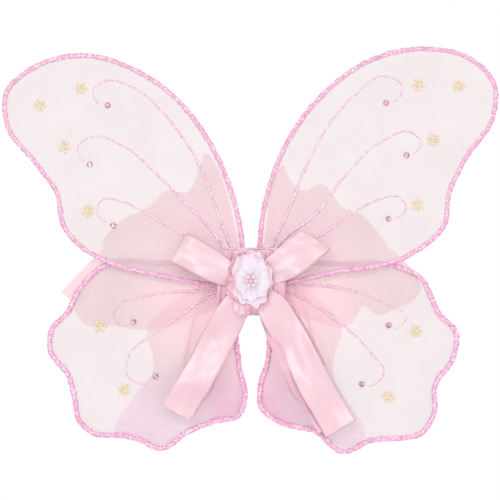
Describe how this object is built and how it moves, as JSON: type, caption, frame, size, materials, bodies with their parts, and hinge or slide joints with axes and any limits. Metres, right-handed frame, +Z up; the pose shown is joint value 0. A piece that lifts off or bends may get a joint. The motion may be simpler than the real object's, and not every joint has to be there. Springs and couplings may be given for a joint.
{
  "type": "fairy wings",
  "caption": "wearable butterfly wings of sheer film on four wire hoops, glitter edges and scrolls, satin and organza bows, fabric flower, elastic arm loops",
  "frame": {"origin": "middle of the back pad's rear face, which rests on the wearer's back", "axes": "+X across the wings, +Y out of the back pad towards the wearer, +Z up"},
  "size_m": [0.4468, 0.0647, 0.3672],
  "materials": {
    "wire": "drawn",
    "film": "sheer knit nylon",
    "glitter_pink": "coarse glitter",
    "stone": "faceted",
    "gold": "glitter",
    "satin": "satin",
    "organza": "sheer organza",
    "petal": "printed polyester",
    "bead": "pearl",
    "felt": "felt",
    "board": "plain",
    "tape": "cotton tape",
    "foam": "polyester wadding",
    "elastic": "covered elastic"
  },
  "bodies": {
    "centre": {"wire_ends_upper": "wire", "wire_ends_lower": "wire", "stiff_plate": "board", "binding_front": "tape", "binding_back": "tape", "padding_front": "foam", "padding_back": "foam", "back_pad": "felt", "satin_patch": "satin", "bow_knot": "satin", "flower_backing": "felt", "petals_under": "petal", "petals_over": "petal", "beads": "bead", "strap_tabs_left": "tape", "strap_tabs_right": "tape", "arm_loop_left": "elastic", "arm_loop_right": "elastic"},
    "wing_upper_left": {"wire_upper_left": "wire", "film_upper_left": "film", "edging_upper_left": "glitter_pink", "veins_upper_left": "glitter_pink", "gems_upper_left": "stone", "gold_flowers_upper_left": "gold", "bow_loop_left": "satin", "organza_loop_left": "organza"},
    "wing_upper_right": {"wire_upper_right": "wire", "film_upper_right": "film", "edging_upper_right": "glitter_pink", "veins_upper_right": "glitter_pink", "gems_upper_right": "stone", "gold_flowers_upper_right": "gold", "bow_loop_right": "satin", "organza_loop_right": "organza"},
    "wing_lower_left": {"wire_lower_left": "wire", "film_lower_left": "film", "edging_lower_left": "glitter_pink", "veins_lower_left": "glitter_pink", "gems_lower_left": "stone", "gold_flowers_lower_left": "gold", "bow_tail_left": "satin", "organza_end_left": "organza", "organza_tail_left": "organza"},
    "wing_lower_right": {"wire_lower_right": "wire", "film_lower_right": "film", "edging_lower_right": "glitter_pink", "veins_lower_right": "glitter_pink", "gems_lower_right": "stone", "gold_flowers_lower_right": "gold", "bow_tail_right": "satin", "organza_end_right": "organza", "organza_tail_right": "organza"}
  },
  "joints": [
    {"name": "fold_upper_left", "type": "hinge", "parent": "centre", "child": "wing_upper_left", "pos_m": [-0.01934, -0.0136, 0.01434], "axis": [0.5244, 0, 0.8514], "range_deg": [-15, 30]},
    {"name": "fold_upper_right", "type": "hinge", "parent": "centre", "child": "wing_upper_right", "pos_m": [0.01881, -0.0136, 0.01527], "axis": [0.5202, 0, -0.854], "range_deg": [-15, 30]},
    {"name": "fold_lower_left", "type": "hinge", "parent": "centre", "child": "wing_lower_left", "pos_m": [-0.02373, -0.009, -0.00925], "axis": [-0.3163, 0, 0.9487], "range_deg": [-15, 30]},
    {"name": "fold_lower_right", "type": "hinge", "parent": "centre", "child": "wing_lower_right", "pos_m": [0.0235, -0.009, -0.009], "axis": [-0.3267, 0, -0.9451], "range_deg": [-15, 30]}
  ],
  "couplings": [
    {"joint": "fold_lower_left", "follows": "fold_upper_left", "ratio": 1},
    {"joint": "fold_lower_right", "follows": "fold_upper_right", "ratio": 1}
  ]
}
